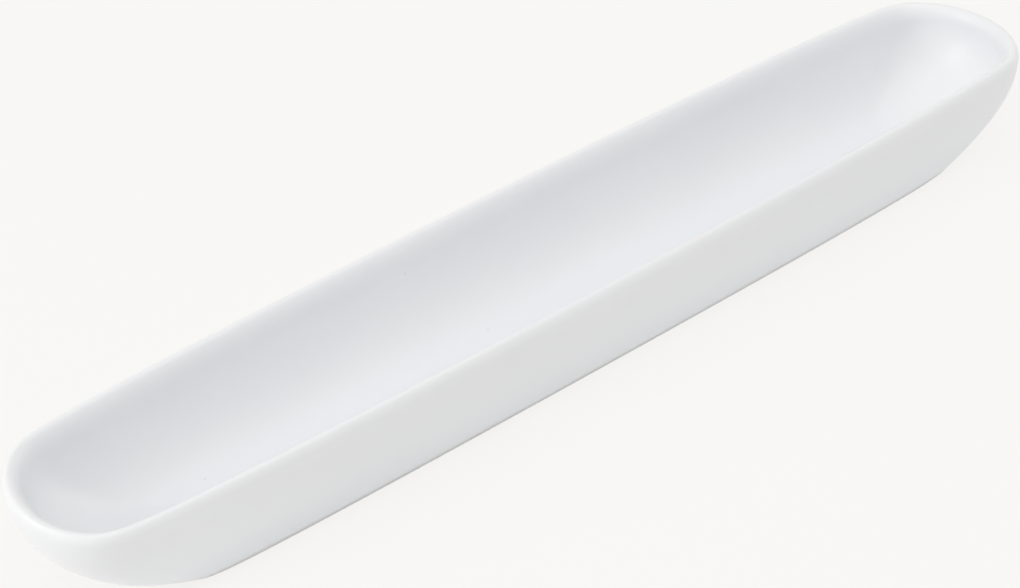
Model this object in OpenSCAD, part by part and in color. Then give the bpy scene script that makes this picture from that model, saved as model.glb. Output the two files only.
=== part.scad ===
// Asparagus plate: one long porcelain trough with upswept ends, a soft rounded lip and a bare foot.
// The fired body carries a thin coat of glaze all over, apart from the foot ring that meets the table.
// +X runs along the plate, +Z is up, and the origin is at the middle of the foot, on the table.

/* [Overall] */
// Length over the glazed rim
length = 360; // [320:1:400]
// Width over the glazed rim
width = 67; // [58:1:76]
// Height from the table to the top of the glazed lip
height = 37; // [32:0.5:42]

/* [Rim] */
// How far in from the rim's edge the top of the lip lies
lip_outer_w = 1.8; // [1.4:0.1:2.4]
// Height over which the lip rounds up from the outer wall to its top
lip_outer_h = 3.2; // [2:0.1:4.5]
// How far in from its top the lip's inner round reaches
lip_inner_w = 3.3; // [2.4:0.1:3.9]
// Height over which the lip's inner round falls from its top into the trough
lip_inner_h = 7.2; // [4:0.1:9]
// How far along the plate the rounding of the rim's ends reaches
rim_round_l = 19.5; // [14:0.5:28]
// How far across the plate the rounding of the rim's ends reaches
rim_round_w = 28; // [20:0.5:29]
// How square the long bulge of the rim's sides is: 2 is an ellipse, more is squarer
rim_squareness = 2; // [1.8:0.1:4]

/* [Outer wall] */
// How the end walls sweep up from the foot: 1 is a straight slope, more is a rounder bow
bow_sweep = 2.4; // [1.5:0.1:4]
// How the side walls lean out from the foot: 1 is a straight lean, more stands up sooner
side_lean = 1.2; // [1:0.1:2]

/* [Foot] */
// Length of the foot, which the plate stands on
foot_length = 289; // [260:1:310]
// Width of the foot
foot_width = 43; // [40:0.2:48]
// How far along the plate the rounding of the foot's ends reaches
foot_round_l = 8; // [7:0.5:14]
// How far across the plate the rounding of the foot's ends reaches
foot_round_w = 18.6; // [12:0.2:19]
// How square the long bulge of the foot's sides is
foot_squareness = 2.5; // [2:0.1:5]
// Width of the bare ring that meets the table
foot_ring_w = 3.2; // [2.4:0.2:3.6]
// Depth of the hollow inside the ring
foot_hollow_h = 1.2; // [0.8:0.1:2]
// How far the hollow's wall slopes in as it rises
foot_hollow_slope = 0.7; // [0.4:0.1:0.8]
// Radius along the foot's outer edge
foot_edge_r = 1.1; // [0.6:0.1:1.5]

/* [Trough] */
// Thickness of the porcelain between the trough and the hollow under it
floor_thickness = 4.1; // [3:0.1:5]
// Length of the flat part of the trough's floor
floor_flat_l = 262; // [230:1:280]
// Width of the flat part of the trough's floor
floor_flat_w = 12; // [8:0.5:20]
// How full the trough's inner curve is: 2 is an ellipse, more is fuller
trough_fullness = 1.85; // [1.6:0.05:2.4]

/* [Glaze] */
// Thickness of the glaze
glaze_t = 0.25; // [0.15:0.05:0.4]
// Height above the table at which the outer glaze stops
glaze_line_h = 1.6; // [1.5:0.1:3]

/* [Hidden] */

// Points round each ring, and rings up each stretch of the wall
ring_points = 64;
foot_edge_steps = 4;
wall_steps = 11;
outer_lip_steps = 4;
inner_lip_steps = 6;
trough_steps = 12;
// Shares by which a ring's points are drawn together at the middles of its ends and sides, and
// then from the ends towards the long sides, where the edge turns least
crowding_share = 0.135;
side_share = 0.17;

// The heights at which the lip starts and ends, its width, and the half sizes of the body's rim,
// all without the glaze
wall_top_z = height - lip_outer_h;
trough_top_z = height - lip_inner_h;
lip_w = lip_outer_w + lip_inner_w - 2 * glaze_t;
rim_half_l = length / 2 - glaze_t;
rim_half_w = width / 2 - glaze_t;
trough_floor_z = foot_hollow_h + floor_thickness;

function mix(a, b, share) = a + (b - a) * share;

// The direction that the wall faces at a point of a ring, in degrees from +X
function facing(j) =
    let (even = 360 * j / ring_points)
    even + (side_share * sin(2 * even) - crowding_share * sin(4 * even)) * 180 / PI;

// The point of a squared oval whose wall faces the given way
function oval_point(half_l, half_w, squareness, way) =
    let (
        across = half_l * abs(cos(way)),
        along = half_w * abs(sin(way)),
        power = squareness / (squareness - 1),
        reach = pow(pow(across, power) + pow(along, power), 1 / squareness)
    )
    [
        sign(cos(way)) * half_l * pow(across, power - 1) / reach,
        sign(sin(way)) * half_w * pow(along, power - 1) / reach
    ];

// A level ring, matched to its neighbours by facing. It is a long oval for the bulge of the sides,
// grown by a short wide ellipse that rounds the ends, and then drawn in square to its own edge.
function ring(half_l, half_w, round_l, round_w, squareness, z, inset = 0) = [
    for (j = [0 : ring_points - 1])
        let (
            way = facing(j),
            side = oval_point(half_l - round_l, half_w - round_w, squareness, way),
            end = oval_point(round_l, round_w, 2, way)
        )
        [side.x + end.x - inset * cos(way), side.y + end.y - inset * sin(way), z]
];

// A foot ring drawn in by some distance, square to its own edge
function foot_ring(inset, z) =
    ring(foot_length / 2, foot_width / 2, foot_round_l, foot_round_w, foot_squareness, z, inset);

// The outer wall's ring at a height, with the small round along the foot's edge
function wall_ring(z) =
    let (
        drop = 1 - z / wall_top_z,
        edge_left = max(foot_edge_r - z, 0),
        edge_inset = foot_edge_r - sqrt(pow(foot_edge_r, 2) - pow(edge_left, 2))
    )
    ring(
        mix(rim_half_l, foot_length / 2, pow(drop, bow_sweep)),
        mix(rim_half_w, foot_width / 2, pow(drop, side_lean)),
        mix(rim_round_l, foot_round_l, drop),
        mix(rim_round_w, foot_round_w, drop),
        mix(rim_squareness, foot_squareness, drop),
        z,
        edge_inset
    );

// A ring of the rim's form, drawn in by some distance
function rim_ring(inset, z) =
    ring(rim_half_l, rim_half_w, rim_round_l, rim_round_w, rim_squareness, z, inset);

// The lip's ring at a turn, from 0 outside through 90 on its top to 180 inside
function lip_ring(turn) =
    let (
        outside = turn < 90,
        round_w = (outside ? lip_outer_w : lip_inner_w) - glaze_t,
        round_h = (outside ? lip_outer_h : lip_inner_h) - glaze_t
    )
    rim_ring(
        lip_outer_w - glaze_t - round_w * cos(turn),
        height - glaze_t - round_h * (1 - sin(turn))
    );

// The trough's ring at a turn, from 0 below the lip to 90 on the flat floor
function trough_ring(turn) =
    let (
        reach = pow(cos(turn), 2 / trough_fullness),
        depth = pow(sin(turn), 2 / trough_fullness),
        half_w = mix(floor_flat_w / 2, rim_half_w, reach),
        share = half_w / rim_half_w
    )
    ring(
        mix(floor_flat_l / 2, rim_half_l, reach),
        half_w,
        rim_round_l * share,
        rim_round_w * share,
        rim_squareness,
        mix(trough_top_z, trough_floor_z, depth),
        lip_w * reach
    );

// The hollow and the foot, from the middle outwards, up to the glaze's lower edge
foot_rings = concat(
    [foot_ring(foot_ring_w + foot_hollow_slope, foot_hollow_h), foot_ring(foot_ring_w, 0)],
    [for (k = [0 : foot_edge_steps - 1]) wall_ring(glaze_line_h * (1 - cos(90 * k / foot_edge_steps)))]
);

// All that the outer coat covers: up the wall, over the lip and down to the trough's floor
coated_rings = concat(
    [for (k = [0 : wall_steps - 1]) wall_ring(mix(glaze_line_h, wall_top_z, k / wall_steps))],
    [for (k = [0 : outer_lip_steps - 1]) lip_ring(90 * k / outer_lip_steps)],
    [for (k = [0 : inner_lip_steps - 1]) lip_ring(90 + 90 * k / inner_lip_steps)],
    [for (k = [0 : trough_steps]) trough_ring(90 * k / trough_steps)]
);

// The way that the surface faces at one point of a stack of rings
function outward(rings, i, j) =
    let (
        before = rings[max(i - 1, 0)][j],
        after = rings[min(i + 1, len(rings) - 1)][j],
        right = rings[i][(j + ring_points - 1) % ring_points],
        left = rings[i][(j + 1) % ring_points],
        way = cross(left - right, after - before)
    )
    way / norm(way);

// The same rings grown outwards by a thickness, square to the surface
function grown(rings, thickness) = [
    for (i = [0 : len(rings) - 1])
        [for (j = [0 : ring_points - 1]) rings[i][j] + thickness * outward(rings, i, j)]
];

function reversed(rings) = [for (i = [len(rings) - 1 : -1 : 0]) rings[i]];

// The triangles that close one ring, in strips between its two long sides
function lid_faces(first) =
    let (half = ring_points / 2)
    [
        for (j = [0 : half - 1])
            each [
                if (j < half - 1) [first + j, first + ring_points - j - 1, first + j + 1],
                if (j > 0) [first + j, first + ring_points - j, first + ring_points - j - 1]
            ]
    ];

function flipped(faces) = [for (face = faces) [face[0], face[2], face[1]]];

// The triangles between each ring and the next
function side_faces(ring_count) = [
    for (i = [0 : ring_count - 2], j = [0 : ring_points - 1])
        let (
            next = (j + 1) % ring_points,
            low = i * ring_points,
            high = low + ring_points
        )
        each [[low + j, high + next, low + next], [low + j, high + j, high + next]]
];

// A closed solid through a stack of rings, with a lid on the first and on the last
module ring_solid(rings) {
    polyhedron(
        points = [for (one_ring = rings) each one_ring],
        faces = concat(
            flipped(lid_faces(0)),
            side_faces(len(rings)),
            lid_faces((len(rings) - 1) * ring_points)
        )
    );
}

// The fired body, with its hollow foot ring, outer wall, lip and trough
module porcelain_body() {
    color([0.93, 0.91, 0.87])
        ring_solid(concat(foot_rings, coated_rings));
}

// The coat on the outer wall, the lip and the trough
module glaze() {
    color([0.95, 0.96, 0.97])
        ring_solid(concat(reversed(coated_rings), grown(coated_rings, glaze_t)));
}

// The coat in the hollow inside the foot ring
module underside_glaze() {
    color([0.95, 0.96, 0.97])
        ring_solid([
            foot_ring(foot_ring_w + foot_hollow_slope, foot_hollow_h - glaze_t),
            foot_ring(foot_ring_w + foot_hollow_slope, foot_hollow_h)
        ]);
}

porcelain_body();
glaze();
underside_glaze();
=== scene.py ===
"""Asparagus plate: one long trough of glazed white porcelain, alone on a plain pale ground."""
import math

import bmesh
import bpy
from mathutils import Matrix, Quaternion, Vector


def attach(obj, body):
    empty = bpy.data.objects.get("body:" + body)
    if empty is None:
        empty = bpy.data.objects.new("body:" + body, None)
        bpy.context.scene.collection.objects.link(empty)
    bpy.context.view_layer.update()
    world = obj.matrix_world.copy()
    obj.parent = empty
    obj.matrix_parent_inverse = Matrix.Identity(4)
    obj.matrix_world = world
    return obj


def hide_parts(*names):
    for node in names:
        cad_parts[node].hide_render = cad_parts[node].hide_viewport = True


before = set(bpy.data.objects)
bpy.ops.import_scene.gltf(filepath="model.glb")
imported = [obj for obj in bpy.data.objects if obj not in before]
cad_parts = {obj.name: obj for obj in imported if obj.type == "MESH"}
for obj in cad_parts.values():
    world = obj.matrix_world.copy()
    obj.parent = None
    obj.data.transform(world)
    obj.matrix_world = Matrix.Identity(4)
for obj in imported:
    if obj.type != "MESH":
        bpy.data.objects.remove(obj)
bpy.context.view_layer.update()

# The camera stands off the near left of the plate and looks down on it at 35 degrees through a long
# lens. It is rolled a few degrees, so that the whole length lies across the picture's diagonal.
CAMERA_PLACE = Vector((-0.30765, -0.45411, 0.40364))
CAMERA_AIM = Vector((-0.01212, 0.01138, 0.015))
CAMERA_ROLL = math.radians(-7.52)
CAMERA_LENS_MM = 78.41
FILM_WIDTH_MM = 36

camera_data = bpy.data.cameras.new("camera")
camera_data.sensor_width = FILM_WIDTH_MM
camera_data.lens = CAMERA_LENS_MM
camera = bpy.data.objects.new("camera", camera_data)
camera.location = CAMERA_PLACE
unrolled = (CAMERA_AIM - CAMERA_PLACE).to_track_quat("-Z", "Y")
camera.rotation_euler = (unrolled @ Quaternion((0, 0, 1), CAMERA_ROLL)).to_euler()
bpy.context.scene.collection.objects.link(camera)
bpy.context.scene.camera = camera

# The fired body is one piece of hard white porcelain, pressed in a mould, sponged smooth and fired.
# It stands on a narrow ring that is wiped clean of glaze before the firing and polished after it, so
# only the ring and the hollow's edge show the bare, slightly warm and gritty porcelain.
LENGTH = 0.360
WIDTH = 0.067
HEIGHT = 0.037
GLAZE_THICKNESS = 0.00025
LIP_OUTER_WIDTH = 0.0018 - GLAZE_THICKNESS
LIP_OUTER_HEIGHT = 0.0032 - GLAZE_THICKNESS
LIP_INNER_WIDTH = 0.0033 - GLAZE_THICKNESS
LIP_INNER_HEIGHT = 0.0072 - GLAZE_THICKNESS
# At the two ends of the plate the lip's inner round is less tall, by this much.
END_LIP_LIFT = 0.003
LIP_WIDTH = LIP_OUTER_WIDTH + LIP_INNER_WIDTH
LIP_TOP = HEIGHT - GLAZE_THICKNESS
WALL_TOP = LIP_TOP - LIP_OUTER_HEIGHT
TROUGH_TOP = LIP_TOP - LIP_INNER_HEIGHT
RIM_HALF_LENGTH = LENGTH / 2 - GLAZE_THICKNESS
RIM_HALF_WIDTH = WIDTH / 2 - GLAZE_THICKNESS
RIM_ROUND_LENGTH = 0.0195
RIM_ROUND_WIDTH = 0.028
# How square an outline's long bulge is: 2 is a plain ellipse, and more is squarer.
PLAIN_ELLIPSE = 2
RIM_SQUARENESS = PLAIN_ELLIPSE
BOW_SWEEP = 2.4
SIDE_LEAN = 1.2
FOOT_HALF_LENGTH = 0.1445
FOOT_HALF_WIDTH = 0.0215
FOOT_ROUND_LENGTH = 0.008
FOOT_ROUND_WIDTH = 0.0186
FOOT_SQUARENESS = 2.5
FOOT_RING_INSET = 0.0032
FOOT_HOLLOW_INSET = 0.0039
FOOT_HOLLOW_HEIGHT = 0.0012
FOOT_EDGE_ROUND = 0.0011
FLOOR_HEIGHT = 0.0053
FLOOR_HALF_LENGTH = 0.131
FLOOR_HALF_WIDTH = 0.006
TROUGH_FULLNESS = 1.85
GLAZE_LINE = 0.0016
RING_POINTS = 256
RING_CROWDING = 0.22


def mixed(start, end, share):
    return start + (end - start) * share


def squared_oval(facing, half_length, half_width, squareness):
    """The point of a squared oval at which its edge faces the given way, seen from above."""
    across = half_length * abs(math.cos(facing))
    along = half_width * abs(math.sin(facing))
    power = squareness / (squareness - 1)
    reach = (across**power + along**power) ** (1 / squareness)
    x = math.copysign(half_length * across ** (power - 1) / reach, math.cos(facing))
    y = math.copysign(half_width * along ** (power - 1) / reach, math.sin(facing))
    return Vector((x, y, 0))


def level_ring(
    half_length, half_width, round_length, round_width, squareness, height, inset=0, end_lift=0
):
    """A level outline: a long oval for the bulge of the sides, grown by a short wide ellipse that
    rounds the ends, and drawn in square to its own edge. Its two ends can be lifted a little."""

    def place(facing):
        side = squared_oval(facing, half_length - round_length, half_width - round_width, squareness)
        end = squared_oval(facing, round_length, round_width, PLAIN_ELLIPSE)
        outward = Vector((math.cos(facing), math.sin(facing), 0))
        return side + end - outward * inset + Vector((0, 0, height + end_lift * outward.x**2))

    return place


def foot_outline(inset, height):
    """The foot's outline, drawn in by some distance."""
    return level_ring(
        FOOT_HALF_LENGTH,
        FOOT_HALF_WIDTH,
        FOOT_ROUND_LENGTH,
        FOOT_ROUND_WIDTH,
        FOOT_SQUARENESS,
        height,
        inset,
    )


def wall_outline(height):
    """The outer wall at a height: it sweeps up like a bow at the ends and leans out at the sides."""
    drop = 1 - height / WALL_TOP
    below_round = max(FOOT_EDGE_ROUND - height, 0)
    return level_ring(
        mixed(RIM_HALF_LENGTH, FOOT_HALF_LENGTH, drop**BOW_SWEEP),
        mixed(RIM_HALF_WIDTH, FOOT_HALF_WIDTH, drop**SIDE_LEAN),
        mixed(RIM_ROUND_LENGTH, FOOT_ROUND_LENGTH, drop),
        mixed(RIM_ROUND_WIDTH, FOOT_ROUND_WIDTH, drop),
        mixed(RIM_SQUARENESS, FOOT_SQUARENESS, drop),
        height,
        FOOT_EDGE_ROUND - math.sqrt(FOOT_EDGE_ROUND**2 - below_round**2),
    )


def lip_outline(turn):
    """The rounded lip, from its outer side through its top at a quarter turn to its inner side."""
    outside = turn < math.pi / 2
    round_width = LIP_OUTER_WIDTH if outside else LIP_INNER_WIDTH
    round_height = LIP_OUTER_HEIGHT if outside else LIP_INNER_HEIGHT
    return level_ring(
        RIM_HALF_LENGTH,
        RIM_HALF_WIDTH,
        RIM_ROUND_LENGTH,
        RIM_ROUND_WIDTH,
        RIM_SQUARENESS,
        LIP_TOP - round_height * (1 - math.sin(turn)),
        LIP_OUTER_WIDTH - round_width * math.cos(turn),
        0 if outside else END_LIP_LIFT * (1 - math.sin(turn)),
    )


def trough_ring(half_length, half_width, height, inset=0, end_lift=0):
    """A ring of the trough's inside, which keeps the rim's form as it shrinks."""
    share = half_width / RIM_HALF_WIDTH
    return level_ring(
        half_length,
        half_width,
        RIM_ROUND_LENGTH * share,
        RIM_ROUND_WIDTH * share,
        RIM_SQUARENESS,
        height,
        inset,
        end_lift,
    )


def trough_outline(turn):
    """The trough's wall, from below the lip at no turn to the flat floor at a quarter turn."""
    reach = max(math.cos(turn), 0) ** (2 / TROUGH_FULLNESS)
    depth = math.sin(turn) ** (2 / TROUGH_FULLNESS)
    return trough_ring(
        mixed(FLOOR_HALF_LENGTH, RIM_HALF_LENGTH, reach),
        mixed(FLOOR_HALF_WIDTH, RIM_HALF_WIDTH, reach),
        mixed(TROUGH_TOP, FLOOR_HEIGHT, depth),
        LIP_WIDTH * reach,
        END_LIP_LIFT * (1 - depth),
    )


def drawn_up(outlines, close_start):
    """A skin that starts as one ring and is drawn from outline to outline, then closed at the end."""
    skin = bmesh.new()
    facing_of = skin.verts.layers.float.new("facing")
    start = bmesh.ops.create_circle(skin, segments=RING_POINTS, radius=1, cap_ends=close_start)
    for vertex in start["verts"]:
        even = math.atan2(vertex.co.y, vertex.co.x)
        vertex[facing_of] = even - RING_CROWDING * math.sin(4 * even)
        vertex.co = outlines[0](vertex[facing_of])
    edge = skin.edges[:]
    for outline in outlines[1:]:
        drawn = bmesh.ops.extrude_edge_only(skin, edges=edge)["geom"]
        edge = [part for part in drawn if isinstance(part, bmesh.types.BMEdge) and part.is_boundary]
        for vertex in (part for part in drawn if isinstance(part, bmesh.types.BMVert)):
            vertex.co = outline(vertex[facing_of])
    bmesh.ops.contextual_create(skin, geom=edge)
    bmesh.ops.recalc_face_normals(skin, faces=skin.faces)
    return skin


def finished(skin, name):
    """The bmesh as an object of that name, smooth all over."""
    mesh = bpy.data.meshes.new(name)
    skin.to_mesh(mesh)
    skin.free()
    mesh.shade_smooth()
    piece = bpy.data.objects.new(name, mesh)
    bpy.context.scene.collection.objects.link(piece)
    return piece


WALL_STEPS = 20
LIP_STEPS = 36
TROUGH_STEPS = 32
FOOT_STEPS = 6
# The hollow's level middle, the small rounds along its rim and the ring, and the floor's own rings
HOLLOW_MIDDLE_INSET = 0.009
HOLLOW_MIDDLE_ROUND_LENGTH = 0.004
HOLLOW_MIDDLE_ROUND_WIDTH = 0.01
HOLLOW_SOFTENING = 0.0003
RING_SOFTENING = 0.0002
RING_CORNER_WIDTH = 0.00002
RING_CORNER_HEIGHT = 0.00006
FLOOR_RING_INSETS = (0.001, 0.003)

hollow_middle = level_ring(
    FOOT_HALF_LENGTH - HOLLOW_MIDDLE_INSET,
    FOOT_HALF_WIDTH - HOLLOW_MIDDLE_INSET,
    HOLLOW_MIDDLE_ROUND_LENGTH,
    HOLLOW_MIDDLE_ROUND_WIDTH,
    PLAIN_ELLIPSE,
    FOOT_HOLLOW_HEIGHT,
)
hollow_and_foot = [
    hollow_middle,
    foot_outline(FOOT_HOLLOW_INSET + HOLLOW_SOFTENING, FOOT_HOLLOW_HEIGHT),
    foot_outline(FOOT_HOLLOW_INSET - RING_SOFTENING, FOOT_HOLLOW_HEIGHT - HOLLOW_SOFTENING),
    foot_outline(FOOT_RING_INSET + RING_SOFTENING, HOLLOW_SOFTENING),
    foot_outline(FOOT_RING_INSET + RING_CORNER_WIDTH, RING_CORNER_HEIGHT),
    foot_outline(FOOT_RING_INSET - RING_SOFTENING, 0),
]
foot_rounds = [
    wall_outline(GLAZE_LINE * (1 - math.cos(math.pi / 2 * step / FOOT_STEPS)))
    for step in range(FOOT_STEPS)
]
glazed_outlines = [
    *[wall_outline(mixed(GLAZE_LINE, WALL_TOP, step / WALL_STEPS)) for step in range(WALL_STEPS)],
    *[lip_outline(math.pi * step / LIP_STEPS) for step in range(LIP_STEPS)],
    *[trough_outline(math.pi / 2 * step / TROUGH_STEPS) for step in range(TROUGH_STEPS + 1)],
    *[
        trough_ring(FLOOR_HALF_LENGTH - inset, FLOOR_HALF_WIDTH - inset, FLOOR_HEIGHT)
        for inset in FLOOR_RING_INSETS
    ],
]

body = finished(drawn_up([*hollow_and_foot, *foot_rounds, *glazed_outlines], True), "fired_body")


def add_node(tree, kind, inputs, **settings):
    """A shader node in that tree, with its inputs set or linked by name or by number."""
    node = tree.nodes.new("ShaderNode" + kind)
    for setting, value in settings.items():
        setattr(node, setting, value)
    for socket, value in inputs.items():
        if isinstance(value, bpy.types.NodeSocket):
            tree.links.new(value, node.inputs[socket])
        else:
            node.inputs[socket].default_value = value
    return node


# The colour sockets of a Mix node, by number, since others on the node have the same names
MIX_FIRST_COLOUR = 6
MIX_SECOND_COLOUR = 7
MIXED_COLOUR = 2


def blended(tree, share, first_colour, second_colour):
    """The colour between two colours, by the share of the second."""
    inputs = {"Factor": share, MIX_FIRST_COLOUR: first_colour, MIX_SECOND_COLOUR: second_colour}
    return add_node(tree, "Mix", inputs, data_type="RGBA").outputs[MIXED_COLOUR]


def new_material(name):
    """An empty material with its Principled shader, and where a point lies on the piece."""
    material = bpy.data.materials.new(name)
    material.use_nodes = True
    tree = material.node_tree
    place = add_node(tree, "TexCoord", {}).outputs["Object"]
    return material, tree, tree.nodes["Principled BSDF"], place


def new_group(name, inputs, outputs):
    """An empty shader group with named sockets, and the nodes at its two ends."""
    group = bpy.data.node_groups.new(name, "ShaderNodeTree")
    for socket_name, kind in inputs.items():
        group.interface.new_socket(socket_name, in_out="INPUT", socket_type=kind)
    for socket_name, kind in outputs.items():
        group.interface.new_socket(socket_name, in_out="OUTPUT", socket_type=kind)
    return group, group.nodes.new("NodeGroupInput").outputs, group.nodes.new("NodeGroupOutput").inputs


# Specks of iron in the clay and pinholes in the glaze are grains a few tenths of a millimetre across,
# strewn far apart.
specks, specks_in, specks_out = new_group(
    "sparse_specks",
    {"Place": "NodeSocketVector", "Cells per Metre": "NodeSocketFloat", "Size": "NodeSocketFloat"},
    {"Mask": "NodeSocketFloat"},
)
cells = add_node(
    specks,
    "TexVoronoi",
    {"Vector": specks_in["Place"], "Scale": specks_in["Cells per Metre"]},
)
away = add_node(
    specks,
    "Math",
    {0: cells.outputs["Distance"], 1: specks_in["Cells per Metre"]},
    operation="DIVIDE",
)
grain = add_node(
    specks,
    "MapRange",
    {"Value": away.outputs[0], "From Min": 0, "From Max": specks_in["Size"], "To Min": 1, "To Max": 0},
    interpolation_type="SMOOTHSTEP",
)
specks.links.new(grain.outputs["Result"], specks_out["Mask"])

PALE_CLAY = (0.905, 0.893, 0.872, 1)
WARM_CLAY = (0.868, 0.852, 0.822, 1)
IRON_BROWN = (0.52, 0.45, 0.38, 1)
IRON_CELLS_PER_METRE = 700
IRON_SIZE = 0.00014
RUBBED_GREY = (0.70, 0.68, 0.65, 1)
POLISHED_BELOW = 0.00005
UNTOUCHED_ABOVE = 0.0004
GRIT_HEIGHT = 0.00004

bare, bare_tree, bare_shader, bare_place = new_material("bare_porcelain")
clay_tone = add_node(bare_tree, "TexNoise", {"Vector": bare_place, "Scale": 90, "Detail": 4})
clay_colour = blended(bare_tree, clay_tone.outputs["Fac"], PALE_CLAY, WARM_CLAY)
iron = add_node(bare_tree, "Group", {})
iron.node_tree = specks
bare_tree.links.new(bare_place, iron.inputs["Place"])
iron.inputs["Cells per Metre"].default_value = IRON_CELLS_PER_METRE
iron.inputs["Size"].default_value = IRON_SIZE
clay_colour = blended(bare_tree, iron.outputs["Mask"], clay_colour, IRON_BROWN)
bare_height = add_node(bare_tree, "SeparateXYZ", {"Vector": bare_place}).outputs["Z"]
polish = add_node(
    bare_tree,
    "MapRange",
    {
        "Value": bare_height,
        "From Min": POLISHED_BELOW,
        "From Max": UNTOUCHED_ABOVE,
        "To Min": 1,
        "To Max": 0,
    },
    interpolation_type="SMOOTHSTEP",
)
rubbed = add_node(bare_tree, "TexNoise", {"Vector": bare_place, "Scale": 260, "Detail": 3})
rubbed_share = add_node(
    bare_tree,
    "Math",
    {0: polish.outputs["Result"], 1: rubbed.outputs["Fac"]},
    operation="MULTIPLY",
)
clay_colour = blended(bare_tree, rubbed_share.outputs[0], clay_colour, RUBBED_GREY)
bare_tree.links.new(clay_colour, bare_shader.inputs["Base Color"])
clay_gloss = add_node(
    bare_tree,
    "MapRange",
    {"Value": rubbed_share.outputs[0], "From Min": 0, "From Max": 0.7, "To Min": 0.82, "To Max": 0.5},
)
bare_tree.links.new(clay_gloss.outputs["Result"], bare_shader.inputs["Roughness"])
grit = add_node(bare_tree, "TexNoise", {"Vector": bare_place, "Scale": 2600, "Detail": 2})
grit_height = add_node(
    bare_tree,
    "MapRange",
    {"Value": grit.outputs["Fac"], "From Min": 0, "From Max": 1, "To Min": 0, "To Max": GRIT_HEIGHT},
)
grit_bump = add_node(bare_tree, "Bump", {"Distance": 1, "Height": grit_height.outputs["Result"]})
bare_tree.links.new(grit_bump.outputs["Normal"], bare_shader.inputs["Normal"])
body.data.materials.append(bare)

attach(body, "root")
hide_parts("porcelain_body")

# The glaze is a thin white coat of glass that is fused on when the plate is dipped and fired. It
# covers the outer wall, the lip and the trough, and ends just above the foot, where it is wiped off.
coat_skin = drawn_up(glazed_outlines, False)
bmesh.ops.solidify(coat_skin, geom=coat_skin.faces[:], thickness=-GLAZE_THICKNESS)
bmesh.ops.recalc_face_normals(coat_skin, faces=coat_skin.faces)
coat = finished(coat_skin, "glaze_coat")

# Molten glaze sets with long soft waves, a fine orange peel, a pinhole here and there, and clouds in
# it where it lies thicker.
PINHOLE_CELLS_PER_METRE = 90
PINHOLE_SIZE = 0.00028
PINHOLE_DEPTH = 0.00003
PINHOLE_GREY = (0.55, 0.53, 0.50, 1)

fired_glaze, glaze_in, glaze_out = new_group(
    "fired_glaze",
    {
        "Place": "NodeSocketVector",
        "Clear Colour": "NodeSocketColor",
        "Cloudy Colour": "NodeSocketColor",
        "Wave Height": "NodeSocketFloat",
        "Peel Height": "NodeSocketFloat",
        "Smoothest": "NodeSocketFloat",
        "Roughest": "NodeSocketFloat",
    },
    {"Colour": "NodeSocketColor", "Roughness": "NodeSocketFloat", "Normal": "NodeSocketVector"},
)
clouds = add_node(fired_glaze, "TexNoise", {"Vector": glaze_in["Place"], "Scale": 24, "Detail": 3})
cloud_share = add_node(
    fired_glaze,
    "MapRange",
    {"Value": clouds.outputs["Fac"], "From Min": 0.35, "From Max": 0.65, "To Min": 0, "To Max": 1},
)
cloud_colour = blended(
    fired_glaze,
    cloud_share.outputs["Result"],
    glaze_in["Clear Colour"],
    glaze_in["Cloudy Colour"],
)
pinholes = add_node(fired_glaze, "Group", {})
pinholes.node_tree = specks
fired_glaze.links.new(glaze_in["Place"], pinholes.inputs["Place"])
pinholes.inputs["Cells per Metre"].default_value = PINHOLE_CELLS_PER_METRE
pinholes.inputs["Size"].default_value = PINHOLE_SIZE
glaze_colour = blended(fired_glaze, pinholes.outputs["Mask"], cloud_colour, PINHOLE_GREY)
fired_glaze.links.new(glaze_colour, glaze_out["Colour"])
haze = add_node(fired_glaze, "TexNoise", {"Vector": glaze_in["Place"], "Scale": 75, "Detail": 2})
gloss = add_node(
    fired_glaze,
    "MapRange",
    {
        "Value": haze.outputs["Fac"],
        "From Min": 0.3,
        "From Max": 0.7,
        "To Min": glaze_in["Smoothest"],
        "To Max": glaze_in["Roughest"],
    },
)
fired_glaze.links.new(gloss.outputs["Result"], glaze_out["Roughness"])
waves = add_node(
    fired_glaze,
    "TexNoise",
    {"Vector": glaze_in["Place"], "Scale": 58, "Detail": 1, "Roughness": 0.4},
)
wave_height = add_node(
    fired_glaze,
    "Math",
    {0: waves.outputs["Fac"], 1: glaze_in["Wave Height"]},
    operation="MULTIPLY",
)
peel = add_node(fired_glaze, "TexNoise", {"Vector": glaze_in["Place"], "Scale": 850, "Detail": 2})
peel_height = add_node(
    fired_glaze,
    "Math",
    {0: peel.outputs["Fac"], 1: glaze_in["Peel Height"], 2: wave_height.outputs[0]},
    operation="MULTIPLY_ADD",
)
skin_height = add_node(
    fired_glaze,
    "Math",
    {0: pinholes.outputs["Mask"], 1: -PINHOLE_DEPTH, 2: peel_height.outputs[0]},
    operation="MULTIPLY_ADD",
)
skin_bump = add_node(fired_glaze, "Bump", {"Distance": 1, "Height": skin_height.outputs[0]})
fired_glaze.links.new(skin_bump.outputs["Normal"], glaze_out["Normal"])


GLASS_IOR = 1.5


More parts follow.
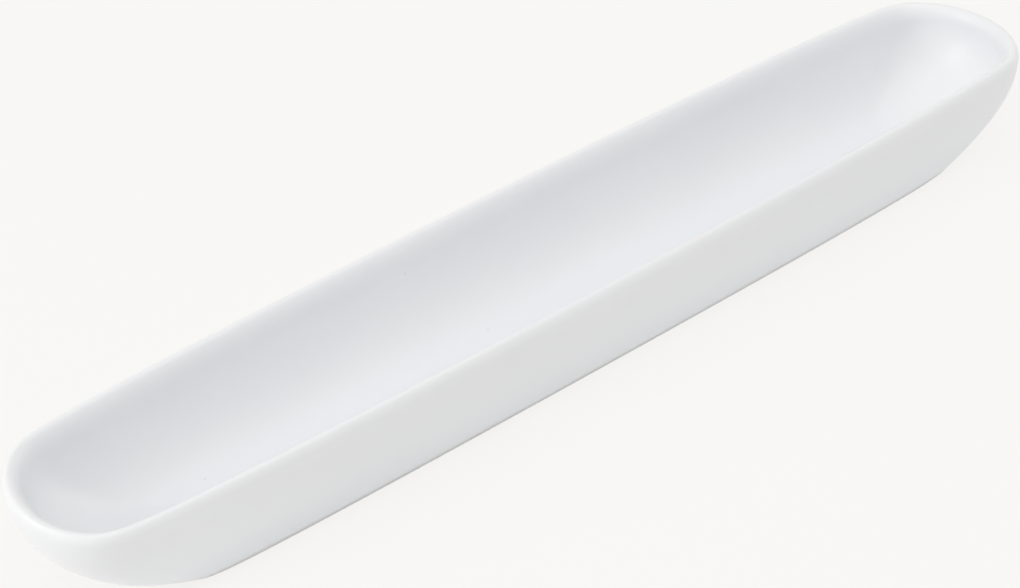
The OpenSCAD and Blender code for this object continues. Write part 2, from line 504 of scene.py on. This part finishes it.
def new_glaze(name, clear_colour, cloudy_colour, wave_height, peel_height, smoothest, roughest):
    """A glaze with its own values, its shader, and the colour that the fired skin gives it."""
    material, tree, shader, place = new_material(name)
    skin = add_node(tree, "Group", {})
    skin.node_tree = fired_glaze
    tree.links.new(place, skin.inputs["Place"])
    skin.inputs["Clear Colour"].default_value = clear_colour
    skin.inputs["Cloudy Colour"].default_value = cloudy_colour
    skin.inputs["Wave Height"].default_value = wave_height
    skin.inputs["Peel Height"].default_value = peel_height
    skin.inputs["Smoothest"].default_value = smoothest
    skin.inputs["Roughest"].default_value = roughest
    tree.links.new(skin.outputs["Colour"], shader.inputs["Base Color"])
    tree.links.new(skin.outputs["Roughness"], shader.inputs["Roughness"])
    tree.links.new(skin.outputs["Normal"], shader.inputs["Normal"])
    shader.inputs["IOR"].default_value = GLASS_IOR
    return material, tree, shader, place, skin.outputs["Colour"]


# Both glazes are kept rougher than about 0.27. Below that, the denoiser draws thin dark lines and
# patches that are on no surface.
glaze, glaze_tree, glaze_shader, glaze_place, glaze_colour = new_glaze(
    "white_glaze",
    clear_colour=(0.871, 0.877, 0.889, 1),
    cloudy_colour=(0.858, 0.865, 0.880, 1),
    wave_height=0.00004,
    peel_height=0.000003,
    smoothest=0.28,
    roughest=0.35,
)
# Towards the lip's top the glaze is a little lighter and warmer, and at the bottom of the trough a
# little darker and cooler. Low on the outer wall it is painted lighter and cooler: painted light that
# offsets the shade falling there near the floor.
LIP_TINT = (0.884, 0.886, 0.891, 1)
LIP_TINT_SHARE = 0.7
LIP_TINT_START = 0.034
LOW_WALL_PAINTED_LIGHT = (0.908, 0.922, 0.948, 1)
PAINTED_LIGHT_FULL_BELOW = 0.003
PAINTED_LIGHT_UP_TO = 0.028
TROUGH_FLOOR_TINT = (0.850, 0.868, 0.888, 1)
FLOOR_TINT_FULLY_BELOW = 0.006
FLOOR_TINT_UP_TO = 0.011
FLOOR_TINT_SHARE = 0.8
# How far up the coat faces, from -1 straight down to 1 straight up
OUTER_WALL_FACING = -0.2
FLOOR_FACING = 0.6

glaze_height = add_node(glaze_tree, "SeparateXYZ", {"Vector": glaze_place}).outputs["Z"]
# Lighter and warmer towards the lip's top.
lip_share = add_node(
    glaze_tree,
    "MapRange",
    {
        "Value": glaze_height,
        "From Min": LIP_TINT_START,
        "From Max": HEIGHT,
        "To Min": 0,
        "To Max": LIP_TINT_SHARE,
    },
    interpolation_type="SMOOTHSTEP",
)
glaze_colour = blended(glaze_tree, lip_share.outputs["Result"], glaze_colour, LIP_TINT)
coat_geometry = add_node(glaze_tree, "NewGeometry", {})
facing_up = add_node(glaze_tree, "SeparateXYZ", {"Vector": coat_geometry.outputs["Normal"]}).outputs["Z"]
# Painted light: low on the outer wall, where it faces down, the glaze is made lighter and cooler to
# offset the shade that falls there near the floor.
painted_light_height_share = add_node(
    glaze_tree,
    "MapRange",
    {
        "Value": glaze_height,
        "From Min": PAINTED_LIGHT_FULL_BELOW,
        "From Max": PAINTED_LIGHT_UP_TO,
        "To Min": 1,
        "To Max": 0,
    },
)
painted_light_facing_share = add_node(
    glaze_tree,
    "MapRange",
    {"Value": facing_up, "From Min": OUTER_WALL_FACING, "From Max": 0, "To Min": 1, "To Max": 0},
)
painted_light_share = add_node(
    glaze_tree,
    "Math",
    {0: painted_light_height_share.outputs["Result"], 1: painted_light_facing_share.outputs["Result"]},
    operation="MULTIPLY",
)
glaze_colour = blended(glaze_tree, painted_light_share.outputs[0], glaze_colour, LOW_WALL_PAINTED_LIGHT)
# Darker and cooler at the bottom of the trough, where the coat faces up.
level_share = add_node(
    glaze_tree,
    "MapRange",
    {"Value": facing_up, "From Min": FLOOR_FACING, "From Max": 1, "To Min": 0, "To Max": 1},
    interpolation_type="SMOOTHSTEP",
)
low_share = add_node(
    glaze_tree,
    "MapRange",
    {
        "Value": glaze_height,
        "From Min": FLOOR_TINT_FULLY_BELOW,
        "From Max": FLOOR_TINT_UP_TO,
        "To Min": FLOOR_TINT_SHARE,
        "To Max": 0,
    },
    interpolation_type="SMOOTHSTEP",
)
floor_tint_share = add_node(
    glaze_tree,
    "Math",
    {0: level_share.outputs["Result"], 1: low_share.outputs["Result"]},
    operation="MULTIPLY",
)
glaze_colour = blended(glaze_tree, floor_tint_share.outputs[0], glaze_colour, TROUGH_FLOOR_TINT)

# Three faint specks of dirt from the kiln are caught in it.
SPECK_PLACES = [(-0.0217, 0.0113, 0.0065), (-0.1222, 0.0111, 0.0069), (-0.0377, 0.0280, 0.0272)]
SPECK_REACH = 0.0007
SPECK_GREY = (0.5, 0.48, 0.46, 1)
SPECK_STRENGTH = 0.25

for speck_place in SPECK_PLACES:
    to_speck = add_node(glaze_tree, "VectorMath", {0: glaze_place, 1: speck_place}, operation="DISTANCE")
    speck = add_node(
        glaze_tree,
        "MapRange",
        {
            "Value": to_speck.outputs["Value"],
            "From Min": 0,
            "From Max": SPECK_REACH,
            "To Min": SPECK_STRENGTH,
            "To Max": 0,
        },
        interpolation_type="SMOOTHSTEP",
    )
    glaze_colour = blended(glaze_tree, speck.outputs["Result"], glaze_colour, SPECK_GREY)
glaze_tree.links.new(glaze_colour, glaze_shader.inputs["Base Color"])
coat.data.materials.append(glaze)

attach(coat, "root")
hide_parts("glaze")

# The hollow inside the foot ring holds a second pool of the same glaze, a little greyer and wavier,
# which is left there when the plate is dipped. The bare ring parts it from the coat outside.
pool_outlines = [
    foot_outline(FOOT_HOLLOW_INSET, FOOT_HOLLOW_HEIGHT - GLAZE_THICKNESS),
    foot_outline(FOOT_HOLLOW_INSET, FOOT_HOLLOW_HEIGHT),
]
pool = finished(drawn_up(pool_outlines, True), "hollow_glaze")

pool_glaze = new_glaze(
    "underside_glaze",
    clear_colour=(0.850, 0.858, 0.868, 1),
    cloudy_colour=(0.815, 0.828, 0.842, 1),
    wave_height=0.00007,
    peel_height=0.000006,
    smoothest=0.28,
    roughest=0.36,
)[0]
pool.data.materials.append(pool_glaze)

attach(pool, "root")
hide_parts("underside_glaze")

# The studio: a pale seamless sweep under the plate. What the camera and the gloss see of it is mostly
# its plain pale paper, so that the plate keeps only a faint soft shadow.
PAPER_COLOUR = (0.947, 0.939, 0.922, 1)
PAPER_FIBRE_COLOUR = (0.937, 0.929, 0.912, 1)
PLAIN_PAPER_SHARE = 0.87
GROUND_REACH = 6


def seen_directly(tree):
    """One for rays from the camera, off gloss and through glass, and nothing for the rest."""
    rays = add_node(tree, "LightPath", {})
    either = add_node(
        tree,
        "Math",
        {0: rays.outputs["Is Camera Ray"], 1: rays.outputs["Is Glossy Ray"]},
        operation="MAXIMUM",
    )
    any_of_them = add_node(
        tree,
        "Math",
        {0: either.outputs[0], 1: rays.outputs["Is Transmission Ray"]},
        operation="MAXIMUM",
    )
    return any_of_them.outputs[0]


ground_shape = bmesh.new()
bmesh.ops.create_grid(ground_shape, x_segments=1, y_segments=1, size=GROUND_REACH)
ground = finished(ground_shape, "studio_ground")
paper, paper_tree, paper_shader, paper_place = new_material("studio_paper")
fibre = add_node(paper_tree, "TexNoise", {"Vector": paper_place, "Scale": 900, "Detail": 3})
paper_tone = blended(paper_tree, fibre.outputs["Fac"], PAPER_COLOUR, PAPER_FIBRE_COLOUR)
paper_tree.links.new(paper_tone, paper_shader.inputs["Base Color"])
paper_shader.inputs["Roughness"].default_value = 0.9
paper_shader.inputs["Specular IOR Level"].default_value = 0
plain_paper = add_node(paper_tree, "Emission", {"Color": PAPER_COLOUR, "Strength": 1})
plain_share = add_node(
    paper_tree,
    "Math",
    {0: seen_directly(paper_tree), 1: PLAIN_PAPER_SHARE},
    operation="MULTIPLY",
)
paper_look = add_node(
    paper_tree,
    "MixShader",
    {0: plain_share.outputs[0], 1: paper_shader.outputs["BSDF"], 2: plain_paper.outputs["Emission"]},
)
paper_tree.links.new(paper_look.outputs["Shader"], paper_tree.nodes["Material Output"].inputs["Surface"])
ground.data.materials.append(paper)

STUDIO_LIGHT_STRENGTH = 0.46

studio = bpy.data.worlds.new("studio")
studio.use_nodes = True
studio_tree = studio.node_tree
studio_light = studio_tree.nodes["Background"]
studio_light.inputs["Color"].default_value = (1, 1, 1, 1)
studio_light.inputs["Strength"].default_value = STUDIO_LIGHT_STRENGTH
backdrop = add_node(studio_tree, "Background", {"Color": PAPER_COLOUR, "Strength": 1})
studio_look = add_node(
    studio_tree,
    "MixShader",
    {
        0: seen_directly(studio_tree),
        1: studio_light.outputs["Background"],
        2: backdrop.outputs["Background"],
    },
)
studio_tree.links.new(studio_look.outputs["Shader"], studio_tree.nodes["World Output"].inputs["Surface"])
bpy.context.scene.world = studio

# Plain soft boxes stand all round the plate, and one hangs over it. The narrow one behind on the left
# draws the soft streak inside the far end. The last three are matte: they light the glaze but are kept
# out of its gloss, so that it shows no more highlights than the photograph does.
SOFTBOX_DISTANCE = 1.7


def softbox(name, bearing, rise, width, height, watts):
    """A rectangle of even white light that faces the plate, placed by two angles in degrees."""
    light = bpy.data.lights.new(name, "AREA")
    light.shape = "RECTANGLE"
    light.size = width
    light.size_y = height
    light.energy = watts
    around = math.radians(bearing)
    up = math.radians(rise)
    outward = Vector((math.cos(around) * math.cos(up), math.sin(around) * math.cos(up), math.sin(up)))
    box = bpy.data.objects.new(name, light)
    box.location = outward * SOFTBOX_DISTANCE
    box.rotation_euler = (-outward).to_track_quat("-Z", "Y").to_euler()
    bpy.context.scene.collection.objects.link(box)
    return box


softbox("overhead_softbox", bearing=0, rise=90, width=1.8, height=1.8, watts=6.5)
softbox("right_softbox", bearing=0, rise=30, width=1.2, height=1.3, watts=2.8)
softbox("near_low_softbox", bearing=270, rise=11, width=2.0, height=0.6, watts=1.6)
softbox("tall_window", bearing=146, rise=30, width=0.3, height=0.9, watts=2.7)
for matte_light in (
    softbox("near_top_softbox", bearing=270, rise=62, width=1.6, height=1.1, watts=4.4),
    softbox("near_right_softbox", bearing=315, rise=30, width=1.2, height=1.2, watts=0.9),
    softbox("left_softbox", bearing=165, rise=25, width=1.2, height=1.2, watts=8.6),
):
    matte_light.visible_glossy = False

bpy.context.scene.view_settings.view_transform = "Standard"
